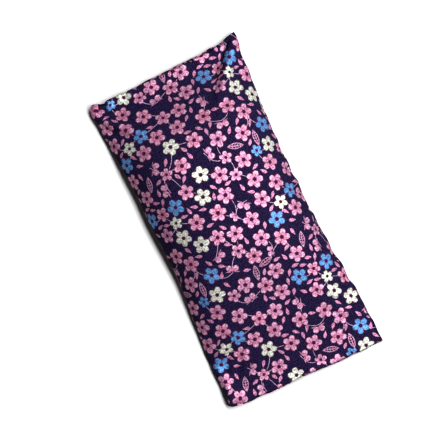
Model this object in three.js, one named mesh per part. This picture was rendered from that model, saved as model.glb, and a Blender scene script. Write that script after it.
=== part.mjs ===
// Eye pillow: a brocade bag, folded along one long side and sewn along the other three,
// round a cotton pouch of flax seed and lavender. Millimetres, +Z up. X runs along the
// pillow, the fold is on the -Y side, the side seam on the +Y side, and the flattened
// underside rests on Z = 0.

import * as THREE from 'three';

// ---- Driving dimensions -------------------------------------------------------------

const LENGTH = 225;              // over the two sewn ends
const END_WIDTH = 112;           // over fold and side seam at the flat ends
const FOLD_WAIST = 3.5;          // how far the fold pulls in at mid length
const SEAM_WAIST = 7;            // how far the side seam pulls in at mid length
const WAIST_CURVE = 2.2;         // power of both side lines
const HEIGHT = 32;               // table to crown
const SEAM_HEIGHT_MID = 12;      // side seam above the table at mid length
const SEAM_HEIGHT_END = 3.5;     // end seams above the table
const KEEL = 14;                 // belly under the seam plane before the table flattens it
const FULLNESS = { power: 3, root: 0.75 };       // how fast the bag fills out from its ends
const SEAM_RISE = 1.4;           // the same for the height of the seam plane
const SECTION_POWER = { fold: 0.85, seam: 1.5 }; // round fold side, pointed sewn side

const BROCADE = 0.6;             // cloth thickness of the cover
const COTTON = 0.4;              // cloth thickness of the pouch
const COVER_ALLOWANCE = 10;      // seam allowances, turned inwards
const POUCH_ALLOWANCE = 6;
const CLIPPED_CELLS = 2;         // end allowances stop short of the side allowance
const FACE_GAP = 0.5;            // between the two facing allowances, round the thread
const PLY_GAP = 0.3;             // between a panel and its own turned allowance
const CLEARANCE = 0.4;           // between cover, pouch and filling

const THREAD_RADIUS = 0.15;
const THREAD_INSET = 0.6;        // stitch line in from the seam edge
const THREAD_SIDES = 6;

const POUCH_INSET = { fold: 2, seam: 13, end: 12.5, crown: 1.2 };
const FILL_INSET = { fold: 1.2, seam: 8, end: 8, crown: 0.9 };

const ROWS = 20;                 // cells along the length
const PANEL_COLUMNS = 10;        // cells across each panel
const TURN_STEPS = 4;            // steps round a turned edge
const FOLD_BULGE_LEFT = 0.3;     // share of the flat fold's roundness left when full

// ---- Shape of the bag ---------------------------------------------------------------

// Height of a panel's mid line over the seam plane at a seam edge: half the gap between
// the allowances, one allowance, the gap to the panel and half the panel.
const edgeHeight = (cloth) => FACE_GAP / 2 + cloth + PLY_GAP + cloth / 2;

// Radius of the mid line round a turned edge.
const turnRadius = (cloth) => (cloth + PLY_GAP) / 2;

const TURNED_EDGE = turnRadius(BROCADE) + BROCADE / 2;
const FLAT_FOLD = edgeHeight(BROCADE) + BROCADE / 2;

const fullness = (s) => (1 - Math.min(1, Math.abs(s)) ** FULLNESS.power) ** FULLNESS.root;

// The seam plane's height over the table. It is level across the sewn ends' margins.
function seamHeight(x) {
  const s = Math.min(1, Math.abs(x) / (LENGTH / 2 - COVER_ALLOWANCE));
  const rise = (1 + Math.cos(Math.PI * s ** SEAM_RISE)) / 2;
  return SEAM_HEIGHT_END + (SEAM_HEIGHT_MID - SEAM_HEIGHT_END) * rise;
}

function waist(x, depth) {
  return depth * (1 - Math.min(1, Math.abs(2 * x / LENGTH)) ** WAIST_CURVE);
}

const COVER = {
  cloth: BROCADE,
  allowance: COVER_ALLOWANCE,
  halfLength: LENGTH / 2 - TURNED_EDGE,
  fold: (x) => FLAT_FOLD - END_WIDTH / 2 + waist(x, FOLD_WAIST),
  seam: (x) => END_WIDTH / 2 - TURNED_EDGE - waist(x, SEAM_WAIST),
  edge: edgeHeight(BROCADE),
  crown: HEIGHT - SEAM_HEIGHT_MID - edgeHeight(BROCADE) - BROCADE / 2,
  keel: KEEL,
  rest: BROCADE / 2,
};

const POUCH = {
  cloth: COTTON,
  allowance: POUCH_ALLOWANCE,
  halfLength: COVER.halfLength - POUCH_INSET.end,
  fold: (x) => COVER.fold(x) + POUCH_INSET.fold,
  seam: (x) => COVER.seam(x) - POUCH_INSET.seam,
  edge: edgeHeight(COTTON),
  crown: COVER.crown - POUCH_INSET.crown,
  keel: COVER.keel - POUCH_INSET.crown,
  rest: BROCADE + CLEARANCE + COTTON / 2,
};

const FILLING = {
  halfLength: POUCH.halfLength - FILL_INSET.end,
  fold: (x) => POUCH.fold(x) + FILL_INSET.fold,
  seam: (x) => POUCH.seam(x) - FILL_INSET.seam,
  edge: 1,
  crown: POUCH.crown - FILL_INSET.crown,
  keel: POUCH.keel - FILL_INSET.crown,
  rest: POUCH.rest + COTTON / 2 + CLEARANCE,
};

// A point of a bag's section at x. turn runs from 0 at the side seam to PI at the fold,
// and side is +1 on the upper panel, -1 on the lower one, which the table flattens.
function panelPoint(bag, x, turn, side) {
  const middle = (bag.seam(x) + bag.fold(x)) / 2;
  const halfWidth = (bag.seam(x) - bag.fold(x)) / 2;
  const atSeam = (1 + Math.cos(turn)) / 2;
  const power = SECTION_POWER.fold + (SECTION_POWER.seam - SECTION_POWER.fold) * atSeam;
  const swell = (side > 0 ? bag.crown : bag.keel) * fullness(x / bag.halfLength);
  const lift = bag.edge + swell * Math.max(0, Math.sin(turn)) ** power;
  const z = Math.max(bag.rest, seamHeight(x) + side * lift);
  return new THREE.Vector3(x, middle + halfWidth * Math.cos(turn), z);
}

// The outermost point of the fold, which is a half circle where the bag is flat.
function foldPoint(bag, x) {
  const round = 1 - (1 - FOLD_BULGE_LEFT) * fullness(x / bag.halfLength);
  return new THREE.Vector3(x, bag.fold(x) - bag.edge * round, seamHeight(x));
}

// ---- Cloth: a folded sheet with turned allowances, built as one thick body -----------

// Columns go from the upper panel's allowance, round its turned edge, over the top, round
// the fold and back under to the lower panel's allowance.
function clothColumns(bag) {
  const radius = turnRadius(bag.cloth);
  const upper = [];
  for (let k = 0; k <= TURN_STEPS; k++) {
    const angle = Math.PI * (1 - k / TURN_STEPS);
    const out = radius * Math.sin(angle);
    const down = radius * (1 - Math.cos(angle));
    upper.push({ kind: 'turn', out, down });
  }
  upper.unshift({ kind: 'turn', out: -bag.allowance, down: 2 * radius });
  for (let k = 1; k <= PANEL_COLUMNS; k++) {
    upper.push({ kind: 'panel', turn: Math.PI * k / PANEL_COLUMNS });
  }
  const withSide = (side) => upper.map((column) => ({ ...column, side }));
  return [...withSide(1), { kind: 'fold', side: 0 }, ...withSide(-1).reverse()];
}

function columnPoint(bag, column, x) {
  if (column.kind === 'fold') {
    return foldPoint(bag, x);
  }
  if (column.kind === 'panel') {
    return panelPoint(bag, x, column.turn, column.side);
  }
  const z = Math.max(bag.rest, seamHeight(x) + column.side * (bag.edge - column.down));
  return new THREE.Vector3(x, bag.seam(x) + column.out, z);
}

// Rows go from one end's allowance, round its turned edge, along the bag and into the
// other end's allowance. depth is how far a turned row lies inside the panel.
const rowX = (bag, k) => -bag.halfLength * Math.cos(Math.PI * k / ROWS);

function clothRows(bag) {
  const radius = turnRadius(bag.cloth);
  const end = [{ x: bag.halfLength - bag.allowance, depth: 2 * radius, turned: true }];
  for (let k = 0; k < TURN_STEPS; k++) {
    const angle = Math.PI * (1 - k / TURN_STEPS);
    end.push({
      x: bag.halfLength + radius * Math.sin(angle),
      depth: radius * (1 - Math.cos(angle)),
      turned: true,
    });
  }
  const rows = end.map((row) => ({ ...row, x: -row.x }));
  for (let k = 0; k <= ROWS; k++) {
    rows.push({ x: rowX(bag, k), depth: 0, turned: false });
  }
  return [...rows, ...end.reverse()];
}

// A turned row is the flat end section over again, lying inside it at its own depth.
function sheetPoint(bag, column, row) {
  if (!row.turned) {
    return columnPoint(bag, column, row.x);
  }
  const end = Math.sign(row.x) * bag.halfLength;
  const point = columnPoint(bag, column, end);
  point.x = row.x;
  point.z += seamHeight(row.x) - seamHeight(end);
  if (column.kind === 'fold') {
    point.y += row.depth;
  } else {
    point.z -= column.side * row.depth;
  }
  return point;
}

// Thickens a grid of mid-surface points, on the cells that keep(i, j) names, into one
// closed body with its rim walled all round.
function thickSheet(points, keep, thickness) {
  const columns = points.length - 1;
  const rows = points[0].length - 1;
  const kept = (i, j) => i >= 0 && j >= 0 && i < columns && j < rows && keep(i, j);
  const touches = (i, j) => kept(i, j) || kept(i - 1, j) || kept(i, j - 1) || kept(i - 1, j - 1);
  const direction = (from, to) => to.clone().sub(from).normalize();

  function tangent(i, j, di, dj) {
    const total = new THREE.Vector3();
    const ahead = kept(i, j) || kept(i - dj, j - di);
    const behind = kept(i - di, j - dj) || kept(i - 1, j - 1);
    if (ahead) {
      total.add(direction(points[i][j], points[i + di][j + dj]));
    }
    if (behind) {
      total.add(direction(points[i - di][j - dj], points[i][j]));
    }
    return total.normalize();
  }

  const positions = [];
  const index = [];
  const number = new Map();
  const key = (i, j) => i * (rows + 1) + j;
  for (let i = 0; i <= columns; i++) {
    for (let j = 0; j <= rows; j++) {
      if (touches(i, j)) {
        const normal = tangent(i, j, 1, 0).cross(tangent(i, j, 0, 1)).normalize();
        number.set(key(i, j), positions.length / 3);
        for (const half of [thickness / 2, -thickness / 2]) {
          const corner = points[i][j].clone().addScaledVector(normal, half);
          positions.push(corner.x, corner.y, corner.z);
        }
      }
    }
  }
  const outer = (i, j) => number.get(key(i, j));
  const inner = (i, j) => number.get(key(i, j)) + 1;
  const quad = (a, b, c, d) => index.push(a, b, c, a, c, d);
  for (let i = 0; i < columns; i++) {
    for (let j = 0; j < rows; j++) {
      if (!kept(i, j)) {
        continue;
      }
      quad(outer(i, j), outer(i + 1, j), outer(i + 1, j + 1), outer(i, j + 1));
      quad(inner(i, j), inner(i, j + 1), inner(i + 1, j + 1), inner(i + 1, j));
      if (!kept(i - 1, j)) {
        quad(outer(i, j), outer(i, j + 1), inner(i, j + 1), inner(i, j));
      }
      if (!kept(i + 1, j)) {
        quad(outer(i + 1, j + 1), outer(i + 1, j), inner(i + 1, j), inner(i + 1, j + 1));
      }
      if (!kept(i, j - 1)) {
        quad(outer(i + 1, j), outer(i, j), inner(i, j), inner(i + 1, j));
      }
      if (!kept(i, j + 1)) {
        quad(outer(i, j + 1), outer(i + 1, j + 1), inner(i + 1, j + 1), inner(i, j + 1));
      }
    }
  }
  const geometry = new THREE.BufferGeometry();
  geometry.setAttribute('position', new THREE.Float32BufferAttribute(positions, 3));
  geometry.setIndex(index);
  return geometry;
}

function bagGeometry(bag) {
  const columns = clothColumns(bag);
  const rows = clothRows(bag);
  const points = columns.map((column) => rows.map((row) => sheetPoint(bag, column, row)));
  const turnedCells = TURN_STEPS + 1;
  const seamCells = turnedCells + CLIPPED_CELLS;
  const keep = (i, j) => {
    const nearSeam = i < seamCells || i >= columns.length - 1 - seamCells;
    const inAllowance = j < turnedCells || j >= rows.length - 1 - turnedCells;
    return !(nearSeam && inAllowance);
  };
  return thickSheet(points, keep, bag.cloth);
}

// ---- Filling: one closed body lofted through the bag's sections -----------------------

function fillingGeometry(bag) {
  const rings = [];
  for (let k = 1; k < ROWS; k++) {
    const x = rowX(bag, k);
    const ring = [];
    for (let c = 0; c <= PANEL_COLUMNS; c++) {
      ring.push(panelPoint(bag, x, Math.PI * c / PANEL_COLUMNS, 1));
    }
    for (let c = PANEL_COLUMNS; c >= 0; c--) {
      ring.push(panelPoint(bag, x, Math.PI * c / PANEL_COLUMNS, -1));
    }
    rings.push(ring);
  }
  const count = rings[0].length;
  const positions = rings.flat().flatMap((point) => [point.x, point.y, point.z]);
  const index = [];
  for (let r = 0; r + 1 < rings.length; r++) {
    for (let c = 0; c < count; c++) {
      const a = r * count + c;
      const b = r * count + (c + 1) % count;
      index.push(a, b, b + count, a, b + count, a + count);
    }
  }
  for (const [r, flip] of [[0, true], [rings.length - 1, false]]) {
    const centre = rings[r].reduce((sum, point) => sum.add(point), new THREE.Vector3());
    centre.divideScalar(count);
    const hub = positions.length / 3;
    positions.push(centre.x, centre.y, centre.z);
    for (let c = 0; c < count; c++) {
      const a = r * count + c;
      const b = r * count + (c + 1) % count;
      index.push(...(flip ? [hub, b, a] : [hub, a, b]));
    }
  }
  const geometry = new THREE.BufferGeometry();
  geometry.setAttribute('position', new THREE.Float32BufferAttribute(positions, 3));
  geometry.setIndex(index);
  return geometry;
}

// ---- Seam threads: one round rod along each line of stitches --------------------------

function threadGeometry(points, steps) {
  const line = new THREE.CurvePath();
  for (let k = 1; k < points.length; k++) {
    line.add(new THREE.LineCurve3(points[k - 1], points[k]));
  }
  const circle = [];
  for (let k = 0; k < THREAD_SIDES; k++) {
    const angle = 2 * Math.PI * k / THREAD_SIDES;
    const spoke = new THREE.Vector2(Math.cos(angle), Math.sin(angle));
    circle.push(spoke.multiplyScalar(THREAD_RADIUS));
  }
  return new THREE.ExtrudeGeometry(new THREE.Shape(circle), {
    steps,
    bevelEnabled: false,
    extrudePath: line,
  });
}

// Runs from row to row of the cloth, and stops just short of the end seams' own threads.
function sideThread(bag) {
  const points = [];
  for (let k = 1; k < ROWS; k++) {
    const x = rowX(bag, k);
    points.push(new THREE.Vector3(x, bag.seam(x) - THREAD_INSET, seamHeight(x)));
  }
  return threadGeometry(points, 2 * ROWS);
}

function endThread(bag, side) {
  const x = side * (bag.halfLength - THREAD_INSET);
  const z = seamHeight(x);
  const from = new THREE.Vector3(x, bag.fold(x) + THREAD_INSET, z);
  const to = new THREE.Vector3(x, bag.seam(x) - THREAD_INSET, z);
  return threadGeometry([from, to], 2);
}

// ---- The object -----------------------------------------------------------------------

const materials = {
  brocade: new THREE.MeshStandardMaterial({ color: 0x3a1f45, roughness: 0.55, metalness: 0 }),
  cotton: new THREE.MeshStandardMaterial({ color: 0xe9e2d3, roughness: 0.9, metalness: 0 }),
  thread: new THREE.MeshStandardMaterial({ color: 0x1e1a38, roughness: 0.6, metalness: 0 }),
  cotton_thread: new THREE.MeshStandardMaterial({ color: 0xf2eee4, roughness: 0.8, metalness: 0 }),
  seed: new THREE.MeshStandardMaterial({ color: 0x6f4526, roughness: 0.6, metalness: 0 }),
};

const pillow = new THREE.Group();

function add(name, geometry, material) {
  const mesh = new THREE.Mesh(geometry, material);
  mesh.name = name;
  pillow.add(mesh);
}

add('brocade_cover', bagGeometry(COVER), materials.brocade);
add('cover_side_seam', sideThread(COVER), materials.thread);
add('cover_end_seam', endThread(COVER, -1), materials.thread);
add('cover_closing_seam', endThread(COVER, 1), materials.thread);
add('cotton_pouch', bagGeometry(POUCH), materials.cotton);
add('pouch_side_seam', sideThread(POUCH), materials.cotton_thread);
add('pouch_end_seam', endThread(POUCH, -1), materials.cotton_thread);
add('pouch_closing_seam', endThread(POUCH, 1), materials.cotton_thread);
add('flax_and_lavender_filling', fillingGeometry(FILLING), materials.seed);

export default pillow;
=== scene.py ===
"""Eye pillow: a folded brocade bag with a cotton pouch of flax seed and lavender.

The cover is one sheet of cloth, folded, welded along its seams and settled round its
filling by a small cloth simulation. The filling lies deepest towards -X. The motifs of
the blossom brocade are strewn over one repeat by a seeded rule, and drawn by shader nodes
from coordinates that each face stores for the motif it lies on. Shapes are worked out in
millimetres and written in metres.
"""

import math

import bpy
import numpy as np
from mathutils import Matrix, Vector


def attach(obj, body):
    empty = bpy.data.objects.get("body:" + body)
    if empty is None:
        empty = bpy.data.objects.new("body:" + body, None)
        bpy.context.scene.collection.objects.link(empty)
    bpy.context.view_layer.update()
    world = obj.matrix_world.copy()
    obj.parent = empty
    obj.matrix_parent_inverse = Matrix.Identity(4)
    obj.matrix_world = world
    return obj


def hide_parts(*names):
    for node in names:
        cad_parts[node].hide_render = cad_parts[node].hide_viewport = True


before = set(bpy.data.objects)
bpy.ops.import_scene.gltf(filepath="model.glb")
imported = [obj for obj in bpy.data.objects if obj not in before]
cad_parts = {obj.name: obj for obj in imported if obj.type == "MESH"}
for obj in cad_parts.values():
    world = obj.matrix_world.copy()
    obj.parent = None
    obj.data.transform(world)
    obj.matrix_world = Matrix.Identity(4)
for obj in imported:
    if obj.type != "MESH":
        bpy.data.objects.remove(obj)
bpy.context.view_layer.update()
MM = 0.001
RNG = np.random.default_rng(7)

# ---- Sizes, in millimetres -----------------------------------------------------------

LENGTH = 232.5          # sewn size between the end seams
WIDTH = 113.0           # sewn size from fold to side seam
SEAM_BOW = 0.048        # how much narrower the side seam is sewn at mid length
SHORT_FOLD = 0.022      # how much shorter the fold is than the side seam
PLY = 0.8               # seam edge: one turned ply of brocade
FILL_DEPTH = 31.5       # how high the filling stands
PANEL_GAP = 1.0         # upper to lower cloth where the bag is empty

# The heap of seed. Along the pillow it starts at -X, rises over HEAP_RISE and then falls
# in two slopes: (where each starts, how long it is, what share of the height it takes).
HEAP_START = -124
HEAP_RISE = 76
HEAP_FALLS = ((-8, 70, 0.36), (30, 92, 0.6))
HEAP_MIDDLE = 1.5                            # its middle line's place across the pillow
HEAP_HALF_WIDTH = 57
HEAP_TAPER = {"from": -75, "over": 45, "by": 5}
HEAP_SIDES = {"fold": (1, 0.5), "seam": (5, 0.55)}    # how far it stops short; roundness
HEAP_FLATNESS = 2.8                          # of its top, from side to side
HEAP_LEAST = 0.8                             # height where there is hardly any seed

# Where the four corners lie: (along, across, height). The first, at the fold, droops.
CORNERS = {
    "fold_start": (-112.5, -50.0, 0.5),
    "seam_start": (-118.5, 56.5, 3.0),
    "fold_end": (104.8, -56.5, 1.0),
    "seam_end": (113.3, 55.8, 1.2),
}

# Cells of each mesh, along the pillow and round the cloth
COARSE_CELLS = 56                            # while the cloth settles; then twice as many
COVER_CELLS = (285, 282)
POUCH_CELLS = 150
HEAP_CELLS = 200
COARSE_RUN = {"steps": 260, "rounds": 6}
FINE_RUN = {"steps": 110, "rounds": 8}
SPEED_KEPT = 0.9                             # from one step to the next
TABLE_GRIP = {"below": 0.3, "speed_kept": 0.4}         # cloth this low rubs on the table

# How far the inner bags' seams lie inside the cover's, and their panels under its panels
POUCH_MARGIN, POUCH_SINK = 6.0, 1.4
HEAP_MARGIN, HEAP_SINK = 12.0, 3.2


# ---- Cloth simulation ----------------------------------------------------------------
# The sheet is a grid of points: rows along the pillow, columns from the lower panel's
# side seam, round the fold in the middle column, to the upper panel's side seam.


def smooth(t):
    t = np.clip(t, 0, 1)
    return t * t * (3 - 2 * t)


def filling_surface(x, y):
    """Height of the heaped seed: full towards -X, thinning to +X, rounded at the sides."""
    rise = smooth((x - HEAP_START) / HEAP_RISE)
    fall = 1.0
    for start, run, share in HEAP_FALLS:
        fall = fall - share * smooth((x - start) / run)
    taper = smooth((HEAP_TAPER["from"] - x) / HEAP_TAPER["over"])
    width = HEAP_HALF_WIDTH - HEAP_TAPER["by"] * taper
    fold_short, fold_root = HEAP_SIDES["fold"]
    seam_short, seam_root = HEAP_SIDES["seam"]
    side = (y - HEAP_MIDDLE) / (width - np.where(y < HEAP_MIDDLE, fold_short, seam_short))
    across = np.clip(1 - np.abs(side) ** HEAP_FLATNESS, 0, 1)
    across = across ** np.where(side < 0, fold_root, seam_root)
    return HEAP_LEAST + FILL_DEPTH * rise * fall * across


def flat_sheet(rows, half):
    along, across = np.meshgrid(
        np.linspace(-LENGTH / 2, LENGTH / 2, rows + 1),
        np.linspace(-WIDTH, WIDTH, 2 * half + 1),
        indexing="ij",
    )
    belly = np.sin(np.pi * (along / LENGTH + 0.5)) * np.sin(np.pi * across / WIDTH)
    return np.stack([along, np.abs(across) - WIDTH / 2, 4 + 2 * belly], axis=-1)


def weld(sheet):
    """Joins the side seam's two edges, and each end's upper and lower halves."""
    seam = (sheet[:, 0] + sheet[:, -1]) / 2
    sheet[:, 0] = sheet[:, -1] = seam
    for end in (0, -1):
        sheet[end] = (sheet[end] + sheet[end][::-1]) / 2


def pull(a, b, rest, strength):
    """Moves linked points of the views a and b towards their resting distance."""
    gap = b - a
    length = np.sqrt((gap * gap).sum(-1, keepdims=True))
    move = (length - rest) / np.maximum(length, 1e-9) * (strength / 2) * gap
    a += move
    b -= move


def hold_cloth(sheet, du, dv, bend=0.3, shear=0.3):
    """One round of the cloth's length, shear and bending limits."""
    for first in (0, 1):
        pull(sheet[:, first:-1:2], sheet[:, first + 1 :: 2], du, 1.0)
    weld(sheet)
    for first in (0, 1):
        pull(sheet[first:-1:2], sheet[first + 1 :: 2], dv, 1.0)
    weld(sheet)
    diagonal = np.hypot(du, dv)[:-1, :-1]
    for first in (0, 1):
        slant = diagonal[:, first::2]
        pull(sheet[:-1, first:-1:2], sheet[1:, first + 1 :: 2], slant, shear)
        pull(sheet[1:, first:-1:2], sheet[:-1, first + 1 :: 2], slant, shear)
    for first in range(4):
        ahead = sheet[:, first + 2 :: 4]
        pull(sheet[:, first:-2:4][:, : ahead.shape[1]], ahead, 2 * du, bend)
        ahead = sheet[first + 2 :: 4]
        pull(sheet[first:-2:4][: ahead.shape[0]], ahead, 2 * dv, bend)
    weld(sheet)


def face_normals(sheet):
    """Area vectors of the sheet's quads, pointing out of the bag."""
    a = sheet[1:, 1:] - sheet[:-1, :-1]
    b = sheet[:-1, 1:] - sheet[1:, :-1]
    return 0.5 * np.cross(a, b)


def filling_push(sheet, cell, stiffness=0.01, weight=0.01):
    """The seed pushes out wherever the cloth lies below the heap's own surface."""
    middle = (sheet[1:, 1:] + sheet[:-1, :-1] + sheet[:-1, 1:] + sheet[1:, :-1]) / 4
    depth = filling_surface(middle[..., 0], middle[..., 1]) - middle[..., 2]
    share = face_normals(sheet) * np.clip(stiffness * depth, 0, None)[..., None] / cell
    force = np.zeros_like(sheet)
    for rows in (slice(1, None), slice(None, -1)):
        for columns in (slice(1, None), slice(None, -1)):
            force[rows, columns] += share
    force[..., 2] -= weight
    return force


def keep_apart(sheet, gap):
    """Keeps the upper panel above the lower one where the bag is nearly empty."""
    half = (sheet.shape[1] - 1) // 2
    upper = sheet[:, half + 1 :, 2]
    lower = sheet[:, half - 1 :: -1, 2]
    push = np.clip(gap - (upper - lower), 0, None) / 2
    upper += push
    lower -= push


def pin_corners(sheet, grip=0.1):
    half = (sheet.shape[1] - 1) // 2
    for name, place in CORNERS.items():
        row = 0 if name.endswith("start") else -1
        for column in (half,) if name.startswith("fold") else (0, -1):
            sheet[row, column] += (np.array(place) - sheet[row, column]) * grip


def settle(sheet, steps, rounds):
    rows, half = sheet.shape[0] - 1, (sheet.shape[1] - 1) // 2
    du, dv = WIDTH / half, LENGTH / rows
    bow = SEAM_BOW * np.sin(np.linspace(0, np.pi, rows + 1)) ** 2
    widths = du * (1 - bow)[:, None, None]
    from_fold = np.abs(np.linspace(-1, 1, 2 * half + 1))
    lengths = dv * (1 - SHORT_FOLD * (1 - from_fold))[None, :, None]
    from_end = np.minimum(np.arange(rows + 1), rows - np.arange(rows + 1)) * dv
    from_seam = (half - np.arange(1, half + 1)) * du
    gap = PANEL_GAP * np.clip(np.minimum.outer(from_end, from_seam) / 3, 0, 1)
    speed = np.zeros_like(sheet)
    for _ in range(steps):
        before = sheet.copy()
        speed = (speed + filling_push(sheet, du * dv)) * SPEED_KEPT
        sheet = sheet + speed
        for _ in range(rounds):
            hold_cloth(sheet, widths, lengths)
            pin_corners(sheet)
            keep_apart(sheet, gap)
            sheet[..., 2] = np.maximum(sheet[..., 2], 0)
        speed = sheet - before
        resting = sheet[..., 2] < TABLE_GRIP["below"]
        speed[resting] *= TABLE_GRIP["speed_kept"]
        sheet[resting] = before[resting] + speed[resting]
        weld(sheet)
    return sheet


def spline_rows(count, places):
    """Matrix that samples a row of count + 1 values at fractional places, smoothly."""
    base = np.clip(np.floor(places).astype(int), 0, count - 1)
    t = places - base
    weights = (
        -0.5 * t + t**2 - 0.5 * t**3,
        1 - 2.5 * t**2 + 1.5 * t**3,
        0.5 * t + 2 * t**2 - 1.5 * t**3,
        -0.5 * t**2 + 0.5 * t**3,
    )
    padded = np.zeros((len(places), count + 3))
    line = np.arange(len(places))
    for offset, weight in enumerate(weights):
        padded[line, base + offset] += weight
    matrix = padded[:, 1:-1].copy()
    matrix[:, 0] += 2 * padded[:, 0]
    matrix[:, 1] -= padded[:, 0]
    matrix[:, -1] += 2 * padded[:, -1]
    matrix[:, -2] -= padded[:, -1]
    return matrix


def resample(grid, rows, columns):
    down = spline_rows(grid.shape[0] - 1, np.linspace(0, grid.shape[0] - 1, rows + 1))
    over = spline_rows(grid.shape[1] - 1, np.linspace(0, grid.shape[1] - 1, columns + 1))
    flat = grid.reshape(grid.shape[0], grid.shape[1], -1)
    return np.einsum("ab,bcd,ec->aed", down, flat, over)


def settled_sheet():
    """Coarse first, then twice as fine, so that the small puckers form last."""
    sheet = settle(flat_sheet(COARSE_CELLS, COARSE_CELLS // 2), **COARSE_RUN)
    fine_cells = 2 * COARSE_CELLS
    sheet = settle(resample(sheet, fine_cells, fine_cells), **FINE_RUN)
    weld(sheet)
    flat = sheet[..., :2].reshape(-1, 2)
    sheet[..., :2] -= (flat.max(0) + flat.min(0)) / 2
    return sheet


# ---- Fine cloth surface --------------------------------------------------------------


def unit(vectors):
    return vectors / np.maximum(np.linalg.norm(vectors, axis=-1, keepdims=True), 1e-9)


def sheet_normals(sheet):
    return unit(np.cross(np.gradient(sheet, axis=0), np.gradient(sheet, axis=1)))


def ripples(rows, columns, spacing):
    """Smooth seeded noise over the sheet, about -1 to 1, with bumps that far apart."""
    coarse = RNG.normal(0, 0.6, (int(LENGTH / spacing) + 2, int(2 * WIDTH / spacing) + 2, 1))
    return resample(coarse, rows, columns)[..., 0]


def mesh_object(name, points, faces, material, slot, nodes):
    mesh = bpy.data.meshes.new(name)
    mesh.from_pydata((np.asarray(points) * MM).tolist(), [], faces)
    mesh.validate()
    mesh.update()
    mesh.shade_smooth()
    piece = bpy.data.objects.new(name, mesh)
    bpy.context.scene.collection.objects.link(piece)
    mesh.materials.append(material)
    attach(piece, "root")
    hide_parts(*nodes)
    return piece


def rim_path(rows, columns):
    """Grid places round the sheet's edge, once, as (row, column)."""
    path = [(0, c) for c in range(columns)]
    path += [(r, columns) for r in range(rows)]
    path += [(rows, c) for c in range(columns, 0, -1)]
    path += [(r, 0) for r in range(rows, 0, -1)]
    return path


def outward(sheet, row, column):
    """Direction in the cloth, square to its edge, pointing off the sheet."""
    rows, columns = sheet.shape[0] - 1, sheet.shape[1] - 1
    way = np.zeros(3)
    if row in (0, rows):
        way += unit(sheet[row, column] - sheet[1 if row == 0 else rows - 1, column])
    if column in (0, columns):
        way += unit(sheet[row, column] - sheet[row, 1 if column == 0 else columns - 1])
    return way


def cover_geometry(sheet, cloth):
    """The outer surface, closed round every seam by two rolled plies with a groove
    between them. Returns points, faces and each point's place in the flat cloth."""
    rows, columns = sheet.shape[0] - 1, sheet.shape[1] - 1
    normals = sheet_normals(sheet)
    skin = sheet + normals * PLY
    skin[..., 2] = np.maximum(skin[..., 2], 0)
    number = np.arange(skin.shape[0] * skin.shape[1]).reshape(skin.shape[:2])
    points = list(skin.reshape(-1, 3))
    places = list(cloth.reshape(-1, 2))
    faces = np.stack(
        [number[:-1, :-1], number[1:, :-1], number[1:, 1:], number[:-1, 1:]], axis=-1
    ).reshape(-1, 4).tolist()
    path = rim_path(rows, columns)
    ring = [number[place] for place in path]
    for angle in (50, 90, 130):
        turn = math.radians(angle)
        fresh = []
        for row, column in path:
            way = outward(sheet, row, column)
            normal = normals[row, column]
            roll = normal * (1 + math.cos(turn)) + way * math.sin(turn)
            point = sheet[row, column] + roll * PLY / 2
            point[2] = max(point[2], 0)
            fresh.append(len(points))
            points.append(point)
            places.append(cloth[row, column] + np.sign(cloth[row, column]) * 0.01 * angle / 50)
        faces += rim_faces(ring, fresh)
        ring = fresh
    # The last ring is the stitch line itself, where the two plies meet.
    stitch = {}
    last = []
    for row, column in path:
        twin = (row, columns - column)
        if twin not in stitch:
            stitch[(row, column)] = len(points)
            points.append(sheet[row, column])
            places.append(cloth[row, column])
        else:
            stitch[(row, column)] = stitch[twin]
        last.append(stitch[(row, column)])
    faces += [face for face in rim_faces(ring, last) if len(set(face)) == 4]
    return np.array(points), faces, np.array(places)


def rim_faces(inner, outer):
    count = len(inner)
    return [
        (int(inner[(k + 1) % count]), int(inner[k]), int(outer[k]), int(outer[(k + 1) % count]))
        for k in range(count)
    ]


# ---- Brocade layout, in millimetres of flat cloth -------------------------------------
# A half-drop repeat: across the cloth each column of motifs is a neighbour's, dropped
# by half the repeat. One repeat is strewn with motifs by a seeded rule: each is thrown
# down at random and kept if it clears the ones that already lie there.

COLUMN = 76.0
REPEAT = 152.0
PINK, WHITE, BLUE = 0.0, 1.0, 2.0
SOWN = np.random.default_rng(11)
RADII = (5.6, 5.2, 4.8, 4.5, 4.2, 3.9)   # of the blossoms, large ones laid first
TRIES = 420                              # throws for each size of blossom
BLOSSOM_GAP = 0.3                        # least cloth between two blossoms' outlines
LEAF_LENGTH, BUD_LENGTH, STEM_REACH = 10.5, 6.0, 21.0
LEAF_TRIES, BUD_TRIES = 1500, 1500
BLADE_SWING = 0.7                        # how far a leaf turns from straight away
BLADE_SPOTS = (-0.25, 0.0, 0.25)         # along it, where it has to lie clear
BLADE_HALF_WIDTH, BLADE_ROOM = 0.2, 0.22
STEM_BOW, STEM_BENDS = 0.22, (0.35, 0.7)     # sideways, and where along it
WHITE_EVERY, BLUE_EVERY, SIDE_EVERY = 8, 11, 5
SIDE_ON = 3.0                            # added to the shade of a blossom seen side-on
BLOSSOM_TURN = 137.5                     # degrees from each blossom to the next
BLOSSOM_FRAME, BLADE_FRAME = 1.08, 1.12  # a motif's own frame, a little wider than it


def shift_of(column, drop):
    return np.array([column * COLUMN, (column % 2) * REPEAT / 2 + drop * REPEAT])


NEARBY = np.array([shift_of(column, drop) for column in (-1, 0, 1) for drop in (-1, 0, 1)])


def nearest_copies(place, others):
    """From a place to the closest copy of each other one, in the half-drop repeat."""
    ways = (np.array(others) - place)[:, None] + NEARBY
    nearest = (ways * ways).sum(-1).argmin(1)
    return ways[np.arange(len(ways)), nearest]


def throw():
    return SOWN.uniform((0, 0), (COLUMN, REPEAT))


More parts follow.
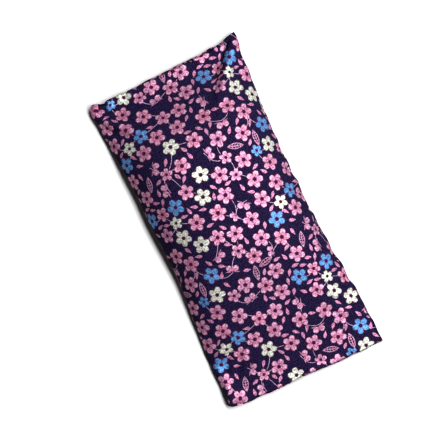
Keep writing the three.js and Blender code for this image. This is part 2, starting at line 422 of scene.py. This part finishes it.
def clear(place, reach, others):
    """Whether a disc of that reach touches none of the others: (place, size) pairs."""
    if not others:
        return True
    ways = nearest_copies(place, [other for other, _ in others])
    sizes = np.array([size for _, size in others])
    return bool((np.linalg.norm(ways, axis=1) > reach + sizes).all())


def strew_blossoms():
    laid = []
    for radius in RADII:
        for _ in range(TRIES):
            place = throw()
            if clear(place, radius + BLOSSOM_GAP, laid):
                laid.append((place, radius))
    return laid


def strew_blades(length, tries, laid):
    """Leaves or buds in the gaps, each pointing away from the motif nearest to it."""
    blades = []
    for _ in range(tries):
        place = throw()
        ways = nearest_copies(place, [other for other, _ in laid])
        toward = ways[(ways * ways).sum(-1).argmin()]
        away = -toward / np.linalg.norm(toward)
        turn = SOWN.uniform(-BLADE_SWING, BLADE_SWING)
        c, s = math.cos(turn), math.sin(turn)
        away = np.array([c * away[0] - s * away[1], s * away[0] + c * away[1]])
        spots = [place + away * length * part for part in BLADE_SPOTS]
        if all(clear(spot, length * BLADE_HALF_WIDTH, laid) for spot in spots):
            blades.append((place - away * length / 2, place + away * length / 2))
            laid += [(spot, length * BLADE_ROOM) for spot in spots]
    return blades


def grow_stems(blossoms):
    """A bent stalk from each blossom to its nearest later neighbour, if within reach."""
    stems = []
    places = [place for place, _ in blossoms]
    for k, place in enumerate(places[:-1]):
        ways = nearest_copies(place, places[k + 1 :])
        way = ways[(ways * ways).sum(-1).argmin()]
        if way @ way < STEM_REACH**2:
            bow = np.array([-way[1], way[0]]) * SOWN.uniform(-STEM_BOW, STEM_BOW)
            bend = [place + way * part + bow for part in STEM_BENDS]
            stems.append([place, *bend, place + way])
    return stems


FLOWERS = strew_blossoms()
TAKEN = list(FLOWERS)                    # grows with every leaf and bud
LEAVES = strew_blades(LEAF_LENGTH, LEAF_TRIES, TAKEN)
BUDS = strew_blades(BUD_LENGTH, BUD_TRIES, TAKEN)
STEMS = grow_stems(FLOWERS)


def repeats():
    """Shifts of the repeat that can touch the two panels."""
    for column in range(-3, 3):
        for drop in range(-2, 3):
            yield shift_of(column, drop)


def near_cloth(place, reach):
    return abs(place[0]) < WIDTH + reach and -reach < place[1] < LENGTH + reach


def assign_motifs(centres, corners, motifs, reach_of, local_of, off):
    """For each face, the coordinates of its corners in the nearest motif's own frame."""
    best = np.full(len(centres), 1.0)
    stored = np.tile(np.array(off, float), (*corners.shape[:2], 1))
    for motif in motifs:
        middle, reach = reach_of(motif)
        near = np.nonzero(np.abs(centres - middle).max(1) < reach)[0]
        if not len(near):
            continue
        score = np.linalg.norm(local_of(motif, centres[near])[:, :2], axis=1)
        win = score < best[near]
        chosen = near[win]
        best[chosen] = score[win]
        local = local_of(motif, corners[chosen].reshape(-1, 2))
        stored[chosen] = local.reshape(*corners[chosen].shape[:2], 3)
    return stored


def blossom_shade(k):
    """Every so many blossoms is white or blue, and some of the pink ones are side-on."""
    if k % WHITE_EVERY == WHITE_EVERY - 1:
        return WHITE
    if k % BLUE_EVERY == BLUE_EVERY - 1:
        return BLUE
    return PINK + SIDE_ON if k % SIDE_EVERY == SIDE_EVERY - 1 else PINK


def blossom_motifs():
    for shift in repeats():
        for k, (place, radius) in enumerate(FLOWERS):
            middle = shift + place
            if near_cloth(middle, 8):
                yield middle, radius, math.radians(BLOSSOM_TURN * k), blossom_shade(k)


def blossom_local(motif, points):
    middle, radius, turn, shade = motif
    x, y = ((points - middle) / (radius * BLOSSOM_FRAME)).T
    c, s = math.cos(turn), math.sin(turn)
    return np.stack([c * x + s * y, c * y - s * x, np.full(len(x), shade)], axis=1)


def blade_motifs():
    """Leaves and buds: base, tip and whether it is filled in, as a bud is."""
    for shift in repeats():
        for filled, blades in ((0.0, LEAVES), (1.0, BUDS)):
            for base, tip in blades:
                if near_cloth(shift + base, 12):
                    yield shift + base, shift + tip, filled


def blade_local(motif, points):
    """x from -1 at the base to 1 at the tip, y across in the same unit."""
    base, tip, filled = motif
    half = (tip - base) / 2
    size = np.linalg.norm(half) * (1.0 if filled else BLADE_FRAME)
    x, y = (points - (base + tip) / 2).T
    c, s = half / np.linalg.norm(half)
    return np.stack([(c * x + s * y) / size, (c * y - s * x) / size, np.full(len(x), filled)], 1)


def stem_lines():
    for shift in repeats():
        for line in STEMS:
            fine = spline_rows(len(line) - 1, np.linspace(0, len(line) - 1, 4 * len(line)))
            curve = fine @ np.array(line, float) + shift
            if near_cloth(curve.mean(0), 40):
                yield curve


def stem_distance(centres, corners):
    """Signed millimetres from the nearest stem's middle line, at each face's corners."""
    best = np.full(len(centres), 2.0)
    stored = np.full(corners.shape[:2], 9.0)
    for curve in stem_lines():
        low, high = curve.min(0) - 2, curve.max(0) + 2
        near = np.nonzero(((centres > low) & (centres < high)).all(1))[0]
        for a, b in zip(curve[:-1], curve[1:]):
            if not len(near):
                break
            size = np.linalg.norm(b - a)
            way = (b - a) / size
            reach = np.clip((centres[near] - a) @ way, 0, size)
            gap = np.linalg.norm(centres[near] - a - reach[:, None] * way, axis=1)
            win = gap < best[near]
            chosen = near[win]
            best[chosen] = gap[win]
            off = corners[chosen] - a
            stored[chosen] = off[..., 0] * way[1] - off[..., 1] * way[0]
    return stored


def store(mesh, name, kind, values):
    layer = mesh.attributes.new(name, kind, "CORNER")
    field = "value" if kind == "FLOAT" else "vector"
    layer.data.foreach_set(field, np.ascontiguousarray(values, np.float32).ravel())


def draw_brocade(piece, places):
    """Stores on each face corner its place in the cloth and in the motifs under it."""
    mesh = piece.data
    count = len(mesh.polygons)
    index = np.empty(len(mesh.loops), int)
    mesh.loops.foreach_get("vertex_index", index)
    corners = places[index].reshape(count, 4, 2)
    centres = corners.mean(1)
    blossoms = assign_motifs(
        centres, corners, blossom_motifs(),
        lambda m: (m[0], m[1] * 1.3), blossom_local, (9, 9, 0),
    )
    blades = assign_motifs(
        centres, corners, blade_motifs(),
        lambda m: ((m[0] + m[1]) / 2, 9), blade_local, (9, 9, 0),
    )
    store(mesh, "blossom", "FLOAT_VECTOR", blossoms)
    store(mesh, "blade", "FLOAT_VECTOR", blades)
    store(mesh, "stem", "FLOAT", stem_distance(centres, corners))
    flat = np.concatenate([corners, np.zeros((count, 4, 1))], axis=-1)
    store(mesh, "cloth", "FLOAT_VECTOR", flat)


# ---- Materials -----------------------------------------------------------------------


class Nodes:
    """A short way to write shader arithmetic."""

    def __init__(self, name):
        self.material = bpy.data.materials.new(name)
        self.material.use_nodes = True
        self.tree = self.material.node_tree
        self.shader = self.tree.nodes["Principled BSDF"]

    def node(self, kind, **settings):
        fresh = self.tree.nodes.new(kind)
        for key, value in settings.items():
            setattr(fresh, key, value)
        return fresh

    def feed(self, socket, value):
        if isinstance(value, bpy.types.NodeSocket):
            self.tree.links.new(value, socket)
        else:
            socket.default_value = value

    def math(self, operation, *values):
        node = self.node("ShaderNodeMath", operation=operation)
        for socket, value in zip(node.inputs, values):
            self.feed(socket, value)
        return node.outputs[0]

    def step(self, value, low, high):
        """0 below low, 1 above high, smooth between; low may be the larger."""
        node = self.node("ShaderNodeMapRange", interpolation_type="SMOOTHSTEP")
        for socket, number in zip(node.inputs, (value, low, high, 0.0, 1.0)):
            self.feed(socket, number)
        return node.outputs[0]

    def mix(self, factor, a, b):
        node = self.node("ShaderNodeMix", data_type="RGBA")
        colours = [s for s in node.inputs if s.type == "RGBA"]
        self.feed(node.inputs[0], factor)
        self.feed(colours[0], a)
        self.feed(colours[1], b)
        return next(s for s in node.outputs if s.type == "RGBA")

    def tint(self, colour, amount):
        """The colour, made darker where amount is below 1."""
        node = self.node("ShaderNodeVectorMath", operation="SCALE")
        self.feed(node.inputs[0], colour)
        self.feed(node.inputs["Scale"], amount)
        return node.outputs[0]

    def wave(self, place, pitch):
        return self.math("SINE", self.math("MULTIPLY", place, 2 * math.pi / pitch))

    def attribute(self, name):
        return self.node("ShaderNodeAttribute", attribute_name=name)

    def split(self, vector):
        node = self.node("ShaderNodeSeparateXYZ")
        self.feed(node.inputs[0], vector)
        return node.outputs

    def noise(self, vector, scale, detail=2.0):
        node = self.node("ShaderNodeTexNoise")
        self.feed(node.inputs["Vector"], vector)
        self.feed(node.inputs["Scale"], scale)
        self.feed(node.inputs["Detail"], detail)
        return node.outputs[0]

    def bump(self, height, distance, strength=1.0):
        node = self.node("ShaderNodeBump")
        self.feed(node.inputs["Height"], height)
        self.feed(node.inputs["Distance"], distance)
        self.feed(node.inputs["Strength"], strength)
        self.feed(self.shader.inputs["Normal"], node.outputs[0])

    def set(self, **values):
        for key, value in values.items():
            self.feed(self.shader.inputs[key.replace("_", " ")], value)


def srgb(red, green, blue):
    """Linear colour of 0-255 screen values."""
    def linear(c):
        return ((c / 255 + 0.055) / 1.055) ** 2.4 if c > 10 else c / 3295

    return (linear(red), linear(green), linear(blue), 1.0)


def darker(colour, share):
    return (*(share * c for c in colour[:3]), 1)


# Dyes of the brocade, as screen colours; the pale pink of the petal tips is partly their own
# paler tone and partly a painted highlight
NAVY_DARK, NAVY_LIGHT = (10, 7, 25), (54, 43, 80)
WINE = (70, 18, 48)
PINK_WARM, PINK_COOL = (190, 132, 157), (184, 138, 168)
PINK_TIP_PAINTED_HIGHLIGHT, PINK_DEEP = (206, 168, 190), (100, 40, 72)
WHITE_LIGHT, WHITE_DEEP = (200, 202, 194), (112, 114, 106)
BLUE_LIGHT, BLUE_DEEP = (108, 148, 192), (38, 70, 126)
TWIG, LEAF, BUD = (188, 158, 180), (180, 134, 160), (184, 130, 158)


def brocade_material():
    n = Nodes("satin_brocade")
    cloth = n.attribute("cloth").outputs["Vector"]
    across, along, _ = n.split(cloth)
    slub = n.noise(cloth, 1.1)
    grain = n.noise(cloth, 0.95, 3.0)
    cast = n.noise(cloth, 0.08)
    # Threads: floats of the figure lie across the cloth, the ground is a slanting twill.
    weft = n.wave(along, 0.95)
    fine = n.wave(n.math("ADD", across, n.math("MULTIPLY", along, 0.15)), 0.6)
    left = n.math("ADD", along, n.math("MULTIPLY", across, 0.6))
    right = n.math("SUBTRACT", along, n.math("MULTIPLY", across, 0.6))
    twill = n.math("MULTIPLY", n.wave(left, 1.5), n.wave(right, 1.5))

    x, y, shade = n.split(n.attribute("blossom").outputs["Vector"])
    radius = n.math("SQRT", n.math("ADD", n.math("MULTIPLY", x, x), n.math("MULTIPLY", y, y)))
    # Five petals: the angle is folded into one petal's own wedge.
    turn = n.math("MULTIPLY", n.math("ARCTAN2", y, x), 5 / (2 * math.pi))
    wedge = n.math("MULTIPLY", n.math("SUBTRACT", n.math("FRACT", turn), 0.5), 2 * math.pi / 5)
    out = n.math("MULTIPLY", radius, n.math("COSINE", wedge))
    side = n.math("ABSOLUTE", n.math("MULTIPLY", radius, n.math("SINE", wedge)))
    notch = n.math("MAXIMUM", n.math("SUBTRACT", 1.0, n.math("MULTIPLY", side, 7.0)), 0.0)
    out = n.math("ADD", out, n.math("MULTIPLY", notch, 0.05))
    petal_x = n.math("DIVIDE", n.math("SUBTRACT", out, 0.57), 0.43)
    petal_y = n.math("DIVIDE", side, 0.345)
    petal_r = n.math("MULTIPLY", petal_x, petal_x)
    petal_r = n.math("SQRT", n.math("ADD", petal_r, n.math("MULTIPLY", petal_y, petal_y)))
    petal = n.step(n.math("ADD", petal_r, n.math("MULTIPLY", slub, 0.16)), 1.09, 1.0)
    eye = n.step(radius, 0.27, 0.17)
    petal = n.math("MULTIPLY", petal, n.math("SUBTRACT", 1.0, eye))
    # Blossoms seen from the side show only the petals on their outer half.
    sideways = n.math("GREATER_THAN", shade, SIDE_ON - 0.5)
    shown = n.math("MAXIMUM", n.math("SUBTRACT", 1.0, sideways), n.step(x, 0.0, 0.08))
    petal = n.math("MULTIPLY", petal, shown)
    shade = n.math("SUBTRACT", shade, n.math("MULTIPLY", sideways, SIDE_ON))
    halo = n.math("MULTIPLY", n.step(radius, 0.98, 0.8), n.math("SUBTRACT", 1.0, sideways))

    # Leaves: outline, midrib and slanting veins. Buds are the same blade, filled in.
    bx, by, filled = n.split(n.attribute("blade").outputs["Vector"])
    by = n.math("ABSOLUTE", by)
    swell = n.math("MAXIMUM", n.math("SUBTRACT", 1.0, n.math("MULTIPLY", bx, bx)), 0.0)
    blunt = n.math("ADD", 1.0, n.math("MULTIPLY", n.math("MULTIPLY", bx, filled), 0.6))
    swell = n.math("MULTIPLY", swell, n.math("MULTIPLY", blunt, 0.38))
    inside = n.step(n.math("SUBTRACT", swell, by), 0.0, 0.05)
    core = n.step(n.math("SUBTRACT", swell, by), 0.1, 0.15)
    vein = n.math("SUBTRACT", n.math("MULTIPLY", bx, 3.2), n.math("MULTIPLY", by, 2.6))
    vein = n.math("ABSOLUTE", n.math("SUBTRACT", n.math("FRACT", vein), 0.5))
    vein = n.math("MAXIMUM", n.step(vein, 0.2, 0.1), n.step(by, 0.07, 0.03))
    hollow = n.math("MULTIPLY", core, n.math("SUBTRACT", 1.0, vein))
    hollow = n.math("MULTIPLY", hollow, n.math("SUBTRACT", 1.0, filled))
    blade = n.math("MULTIPLY", inside, n.math("SUBTRACT", 1.0, hollow))
    stem = n.step(n.math("ABSOLUTE", n.attribute("stem").outputs["Fac"]), 0.28, 0.12)
    line = n.math("MULTIPLY", n.math("MAXIMUM", blade, stem), n.math("SUBTRACT", 1.0, halo))

    # Colours
    twilled = n.math("ADD", n.step(twill, -0.4, 0.9), n.step(grain, 0.4, 0.62))
    ground = n.mix(n.math("MULTIPLY", twilled, 0.5), srgb(*NAVY_DARK), srgb(*NAVY_LIGHT))
    ground = n.mix(n.math("MULTIPLY", halo, 0.75), ground, srgb(*WINE))
    deep = n.math("MULTIPLY", n.step(petal_r, 0.65, 1.08), 0.6)
    deep = n.math("ADD", deep, n.math("MULTIPLY", n.step(slub, 0.55, 0.38), 0.3))
    pink = n.mix(n.step(cast, 0.35, 0.65), srgb(*PINK_WARM), srgb(*PINK_COOL))
    # Pink petals turn paler towards their tips: partly the petals' own paler tone, partly a
    # painted highlight on the raised satin
    pink = n.mix(n.step(radius, 0.45, 0.85), pink, srgb(*PINK_TIP_PAINTED_HIGHLIGHT))
    pink = n.mix(deep, pink, srgb(*PINK_DEEP))
    is_white = n.step(n.math("ABSOLUTE", n.math("SUBTRACT", shade, WHITE)), 0.4, 0.3)
    is_blue = n.step(n.math("ABSOLUTE", n.math("SUBTRACT", shade, BLUE)), 0.4, 0.3)
    bloom = n.mix(is_white, pink, n.mix(deep, srgb(*WHITE_LIGHT), srgb(*WHITE_DEEP)))
    bloom = n.mix(is_blue, bloom, n.mix(deep, srgb(*BLUE_LIGHT), srgb(*BLUE_DEEP)))
    twig = n.mix(blade, srgb(*TWIG), n.mix(filled, srgb(*LEAF), srgb(*BUD)))
    colour = n.mix(petal, n.mix(line, ground, twig), bloom)
    motif = n.math("MAXIMUM", petal, line)
    dim = n.math("MULTIPLY", n.math("ADD", n.math("MULTIPLY", weft, 0.5), fine), motif)
    dim = n.math("SUBTRACT", 1.0, n.math("MULTIPLY", dim, 0.12))
    worn = n.math("MULTIPLY", n.step(grain, 0.56, 0.4), n.math("MULTIPLY", motif, 0.5))
    dim = n.math("SUBTRACT", dim, worn)
    colour = n.tint(colour, dim)
    n.feed(n.shader.inputs["Base Color"], colour)
    # The figure's satin floats shine in their own colour; the ground is matt.
    n.feed(n.shader.inputs["Metallic"], n.math("MULTIPLY", motif, 0.6))
    n.feed(n.shader.inputs["Roughness"], n.math("SUBTRACT", 0.8, n.math("MULTIPLY", motif, 0.26)))
    height = n.math("ADD", n.math("MULTIPLY", twill, 0.3), n.math("MULTIPLY", motif, 1.2))
    height = n.math("ADD", height, n.math("MULTIPLY", n.math("MULTIPLY", fine, motif), 0.3))
    height = n.math("ADD", height, n.math("MULTIPLY", slub, 0.5))
    n.bump(height, 0.00015, 0.7)
    n.set(Specular_IOR_Level=0.08)
    return n.material


# How fast the fine patterns of the plain materials turn, in radians for each metre
WEAVE_PER_METRE = 9000
TWIST_PER_METRE = 12000
SEED_SCALE = 380.0            # seeds in a metre


def cotton_material(name, colour):
    n = Nodes(name)
    place = n.node("ShaderNodeTexCoord").outputs["Object"]
    x, y, _ = n.split(place)
    warp = n.math("SINE", n.math("MULTIPLY", x, WEAVE_PER_METRE))
    weft = n.math("SINE", n.math("MULTIPLY", y, WEAVE_PER_METRE))
    weave = n.math("MULTIPLY", warp, weft)
    soft = n.noise(place, 60)
    tone = n.mix(n.step(soft, 0.3, 0.7), colour, darker(colour, 0.86))
    n.feed(n.shader.inputs["Base Color"], tone)
    n.bump(n.math("ADD", weave, n.math("MULTIPLY", soft, 2.0)), 0.00012)
    n.set(Roughness=0.9, Sheen_Weight=0.2)
    return n.material


def seed_material():
    n = Nodes("flax_and_lavender")
    place = n.node("ShaderNodeTexCoord").outputs["Object"]
    cells = n.node("ShaderNodeTexVoronoi")
    n.feed(cells.inputs["Vector"], place)
    n.feed(cells.inputs["Scale"], SEED_SCALE)
    kind, shade, _ = n.split(cells.outputs["Color"])
    flax = n.mix(shade, srgb(88, 50, 26), srgb(140, 88, 48))
    lavender = srgb(122, 112, 150)
    tone = n.mix(n.step(kind, 0.86, 0.9), flax, lavender)
    n.feed(n.shader.inputs["Base Color"], tone)
    n.bump(n.step(cells.outputs["Distance"], 0.7, 0.0), 0.0008)
    n.set(Roughness=0.38)
    return n.material


def thread_material(name, colour):
    n = Nodes(name)
    place = n.node("ShaderNodeTexCoord").outputs["Object"]
    x, y, z = n.split(place)
    along = n.math("ADD", n.math("ADD", x, y), z)
    twist = n.math("SINE", n.math("MULTIPLY", along, TWIST_PER_METRE))
    tone = n.mix(n.step(twist, -1, 1), darker(colour, 0.6), colour)
    n.feed(n.shader.inputs["Base Color"], tone)
    n.bump(twist, 0.00005)
    n.set(Roughness=0.55)
    return n.material


FLOOR_GREY = 0.52
FLOOR_SIZE = 4                # metres


def floor_material():
    n = Nodes("pale_floor")
    n.set(Roughness=0.9, Specular_IOR_Level=0.1)
    n.feed(n.shader.inputs["Base Color"], (FLOOR_GREY, FLOOR_GREY, FLOOR_GREY, 1))
    return n.material


# ---- Pieces --------------------------------------------------------------------------


SEAM_ZONE = 9                 # millimetres from a seam where the stitching still shows


def make_cover(sheet, rows, columns):
    fine = resample(sheet, rows, columns)
    weld(fine)
    across, along = np.meshgrid(
        np.linspace(-WIDTH, WIDTH, columns + 1), np.linspace(0, LENGTH, rows + 1)
    )
    cloth = np.stack([across, along], axis=-1)
    margin = np.minimum(np.minimum(along, LENGTH - along), WIDTH - np.abs(across))
    calm = smooth(margin / SEAM_ZONE)
    lumps = 0.5 * ripples(rows, columns, 24) + 0.22 * ripples(rows, columns, 9)
    lumps += 0.1 * ripples(rows, columns, 3.4)
    pucker = 0.8 * ripples(rows, columns, 6.5) * smooth(margin / 2) * smooth((14 - margin) / 12)
    fine += sheet_normals(fine) * (lumps * calm + pucker)[..., None]
    fine[..., 2] = np.maximum(fine[..., 2] + PLY, PLY)
    # The stitching draws the edges in a little unevenly.
    near_edge = smooth((SEAM_ZONE - margin) / SEAM_ZONE)
    wander = 0.7 * ripples(rows, columns, 7)
    fine[..., 0] += near_edge * wander[rows // 2][None, :]
    fine[..., 1] += near_edge * wander[:, columns // 4][:, None]
    weld(fine)
    points, faces, places = cover_geometry(fine, cloth)
    piece = mesh_object(
        "cover", points, faces, brocade_material(), "brocade", ["brocade_cover"]
    )
    draw_brocade(piece, places)
    return fine


def inner_sheet(sheet, rows, columns, margin, sink):
    """A smaller bag inside the cover: its own seams lie margin inside the cover's, and
    its panels lie sink below the cover's and taper together at those seams."""
    inner_u = (WIDTH - margin) / WIDTH
    inner_v = (LENGTH - 2 * margin) / LENGTH
    down = np.linspace(-inner_v, inner_v, rows + 1) / 2 + 0.5
    over = np.linspace(-inner_u, inner_u, columns + 1) / 2 + 0.5
    row_matrix = spline_rows(sheet.shape[0] - 1, down * (sheet.shape[0] - 1))
    column_matrix = spline_rows(sheet.shape[1] - 1, over * (sheet.shape[1] - 1))
    inner = np.einsum("ab,bcd,ec->aed", row_matrix, sheet, column_matrix)
    along = (down - down[0]) * LENGTH
    across = np.abs(over - 0.5) * 2 * WIDTH
    edge = np.minimum.outer(np.minimum(along, along[::-1]), across[0] - across)
    swell = smooth(edge / 14)[..., None] ** 0.6
    middle = (inner + inner[:, ::-1]) / 2
    inner = middle + (inner - middle) * swell
    return inner - sheet_normals(inner) * sink * swell, smooth(edge / 8)


def closed_bag(sheet):
    """Points and faces of a sheet whose seam edges share their points."""
    rows, columns = sheet.shape[0] - 1, sheet.shape[1] - 1
    number = np.arange(sheet.shape[0] * sheet.shape[1]).reshape(sheet.shape[:2])
    number[:, -1] = number[:, 0]
    for end in (0, -1):
        number[end, columns // 2 + 1 :] = number[end, : columns // 2][::-1]
    used, shared = np.unique(number, return_inverse=True)
    shared = shared.reshape(number.shape)
    quads = np.stack(
        [shared[:-1, :-1], shared[1:, :-1], shared[1:, 1:], shared[:-1, 1:]], axis=-1
    )
    faces = []
    for quad in quads.reshape(-1, 4).tolist():
        corners = list(dict.fromkeys(quad))
        if len(corners) > 2:
            faces.append(corners)
    return sheet.reshape(-1, 3)[used], faces


def make_pouch(sheet):
    cells = POUCH_CELLS
    pouch, calm = inner_sheet(sheet, cells, cells, POUCH_MARGIN, POUCH_SINK)
    creases = 0.5 * ripples(cells, cells, 14) + 0.25 * ripples(cells, cells, 6)
    pouch -= sheet_normals(pouch) * (np.abs(creases) * calm)[..., None]
    weld(pouch)
    points, faces = closed_bag(pouch)
    cotton = cotton_material("undyed_cotton", srgb(236, 230, 216))
    piece = mesh_object("pouch", points, faces, cotton, "cotton", ["cotton_pouch"])
    return pouch


def make_filling(sheet):
    cells = HEAP_CELLS
    heap, calm = inner_sheet(sheet, cells, cells, HEAP_MARGIN, HEAP_SINK)
    grains = 0.5 * ripples(cells, cells, 2.6) + 0.3 * ripples(cells, cells, 8)
    heap -= sheet_normals(heap) * (np.abs(grains) * calm)[..., None]
    weld(heap)
    points, faces = closed_bag(heap)
    node = "flax_and_lavender_filling"
    mesh_object("seed_filling", points, faces, seed_material(), "seed", [node])


THREAD_RADIUS = 0.15
THREAD_SIDES = 6
STITCH, SWAY = 2.5, 0.22      # length of a stitch; how far the thread weaves up and down
STATION_STEP = 0.5            # between the thread's rings
THREAD_END = 0.6              # how far it stops short of the corner


def make_thread(name, line, node, slot, material):
    """A thread along a seam, weaving from one ply to the other at every stitch."""
    steps = np.linalg.norm(np.diff(line, axis=0), axis=1)
    travel = np.concatenate([[0], np.cumsum(steps)])
    length = travel[-1]
    stations = np.linspace(THREAD_END, length - THREAD_END, int(length / STATION_STEP))
    path = np.stack([np.interp(stations, travel, line[:, k]) for k in range(3)], axis=1)
    path[:, 2] += SWAY * np.sin(np.pi * stations / STITCH)
    way = unit(np.gradient(path, axis=0))
    side = unit(np.cross(way, (0, 0, 1)))
    lift = np.cross(side, way)
    turns = np.arange(THREAD_SIDES) * 2 * math.pi / THREAD_SIDES
    ring = np.cos(turns)[:, None] * side[:, None] + np.sin(turns)[:, None] * lift[:, None]
    points = (path[:, None] + THREAD_RADIUS * ring).reshape(-1, 3)
    faces = []
    for k in range(len(path) - 1):
        for m in range(THREAD_SIDES):
            a, b = THREAD_SIDES * k + m, THREAD_SIDES * k + (m + 1) % THREAD_SIDES
            faces.append((a, b, b + THREAD_SIDES, a + THREAD_SIDES))
    faces.append(tuple(range(THREAD_SIDES - 1, -1, -1)))
    faces.append(tuple(range(len(points) - THREAD_SIDES, len(points))))
    mesh_object(name, points, faces, material, slot, [node])


def make_threads(cover, pouch):
    navy = thread_material("navy_thread", srgb(40, 36, 72))
    plain = thread_material("cotton_thread", srgb(240, 235, 222))
    for owner, bag, slot, material in (
        ("cover", cover, "thread", navy),
        ("pouch", pouch, "cotton_thread", plain),
    ):
        half = bag.shape[1] // 2
        lines = {
            "side_seam": bag[:, 0],
            "end_seam": bag[0, half:],
            "closing_seam": bag[-1, half:],
        }
        for seam, line in lines.items():
            name = f"{owner}_{seam}"
            make_thread(name + "_thread", line, name, slot, material)


def make_stage():
    bpy.ops.mesh.primitive_plane_add(size=FLOOR_SIZE)
    floor = bpy.context.object
    floor.name = "floor"
    floor.data.materials.append(floor_material())


def strip_light(name, place, length, width, power):
    """A soft box that faces the pillow's middle, its long side along the pillow."""
    data = bpy.data.lights.new(name, "AREA")
    data.shape = "RECTANGLE"
    data.size = length
    data.size_y = width
    data.energy = power
    lamp = bpy.data.objects.new(name, data)
    lamp.location = place
    lamp.rotation_euler = (-Vector(place)).to_track_quat("-Z", "Y").to_euler()
    bpy.context.scene.collection.objects.link(lamp)


# Metres and watts
KEY_LIGHT = {"place": (0, 0.58, 1.4), "length": 1.8, "width": 0.42, "power": 46}
SKY_FADE = (0.22, 0.4)        # upward part of the direction where the sky turns dim
SKY_STRENGTH = (0.6, 0.02)    # below and above that


def make_lights():
    strip_light("key", **KEY_LIGHT)
    world = bpy.data.worlds.new("soft_room")
    bpy.context.scene.world = world
    world.use_nodes = True
    # Pale at the horizon, dim overhead, so that the soft box alone shapes the pillow.
    tree = world.node_tree
    up = tree.nodes.new("ShaderNodeSeparateXYZ")
    tree.links.new(tree.nodes.new("ShaderNodeTexCoord").outputs["Generated"], up.inputs[0])
    fade = tree.nodes.new("ShaderNodeMapRange")
    for socket, value in zip(list(fade.inputs)[1:5], (*SKY_FADE, *SKY_STRENGTH)):
        socket.default_value = value
    tree.links.new(up.outputs["Z"], fade.inputs["Value"])
    tree.nodes["Background"].inputs["Color"].default_value = (1, 1, 1, 1)
    tree.links.new(fade.outputs["Result"], tree.nodes["Background"].inputs["Strength"])


# The camera looks straight down with the pillow lying aslant in its frame.
PICTURE_WIDTH = 0.2908        # metres across the frame, at the height of MIDDLE
MIDDLE = 0.012
CAMERA_HEIGHT = 1.1
SENSOR = 36
CAMERA_PLACE = (-0.0072, -0.0076)
SLANT = math.radians(64.26)   # the pillow's length, clockwise from the picture's right


def make_camera():
    data = bpy.data.cameras.new("camera")
    data.sensor_width = SENSOR
    data.lens = SENSOR * (CAMERA_HEIGHT - MIDDLE) / PICTURE_WIDTH
    camera = bpy.data.objects.new("camera", data)
    right = Vector((math.cos(SLANT), math.sin(SLANT), 0))
    up = Vector((-math.sin(SLANT), math.cos(SLANT), 0))
    turn = Matrix((right, up, (0, 0, 1))).transposed().to_4x4()
    camera.matrix_world = Matrix.Translation((*CAMERA_PLACE, CAMERA_HEIGHT)) @ turn
    bpy.context.scene.collection.objects.link(camera)
    bpy.context.scene.camera = camera


make_camera()
pillow_sheet = settled_sheet()
cover_sheet = make_cover(pillow_sheet, *COVER_CELLS)
pouch_sheet = make_pouch(pillow_sheet)
make_filling(pillow_sheet)
make_threads(cover_sheet, pouch_sheet)
make_stage()
make_lights()
bpy.context.scene.view_settings.view_transform = "Standard"
bpy.context.scene.view_settings.look = "High Contrast"
